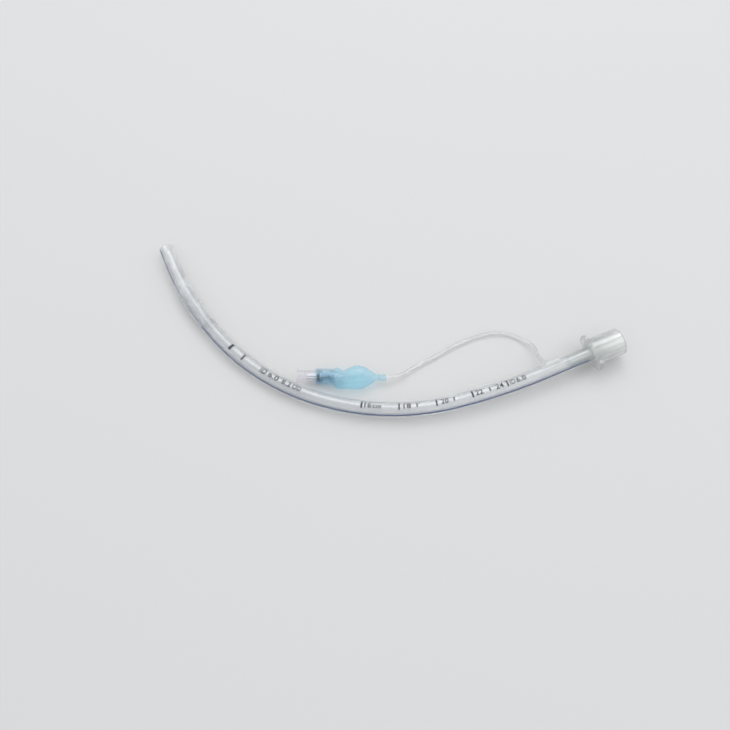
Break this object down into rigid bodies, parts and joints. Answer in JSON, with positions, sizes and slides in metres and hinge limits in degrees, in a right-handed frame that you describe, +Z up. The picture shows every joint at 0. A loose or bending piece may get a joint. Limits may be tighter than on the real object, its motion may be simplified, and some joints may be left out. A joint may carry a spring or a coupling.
{
  "type": "cuffed endotracheal tube",
  "caption": "Curved clear airway tube with a soft cuff near its bevelled tip, a 15 mm breathing connector and a thin line to a blue pilot balloon with a syringe valve.",
  "frame": {"origin": "centre of the bottom of the box round the tube, cuff and connector, on the surface that the tube lies on", "axes": "+X along the straight machine end and out of the connector, +Y towards the inside of the bend and the tip, +Z up from the surface"},
  "size_m": [0.2116, 0.1758, 0.0166],
  "materials": {
    "tube_plastic": "clear, slightly cloudy soft plastic, glossy",
    "cuff_film": "thin clear film, glossy",
    "connector_plastic": "clear milky hard plastic, smooth",
    "line_plastic": "clear soft plastic, glossy",
    "balloon_film": "translucent sky-blue film, glossy",
    "clear_plastic": "clear hard plastic, glossy",
    "blue_plastic": "translucent pale blue hard plastic, glossy",
    "white_plastic": "milky white plastic, satin",
    "dark_rubber": "dark rubber, matt",
    "spring_steel": "drawn stainless wire, bright"
  },
  "bodies": {
    "tube": {"tube_shaft": "tube_plastic", "cuff": "cuff_film", "connector": "connector_plastic", "inflation_line": "line_plastic", "pilot_balloon": "balloon_film", "valve_body": "clear_plastic", "valve_sleeve": "blue_plastic", "valve_tail": "white_plastic", "valve_spring": "spring_steel"},
    "plunger": {"valve_plunger": "white_plastic", "valve_seal": "dark_rubber"}
  },
  "joints": [
    {"name": "plunger_press", "type": "slide", "parent": "tube", "child": "plunger", "axis": [0.9085, -0.4179, 0], "range_m": [0, 0.0018], "stiffness_N_per_m": 300, "springref_m": -0.0015, "deforming": ["valve_spring"]}
  ]
}
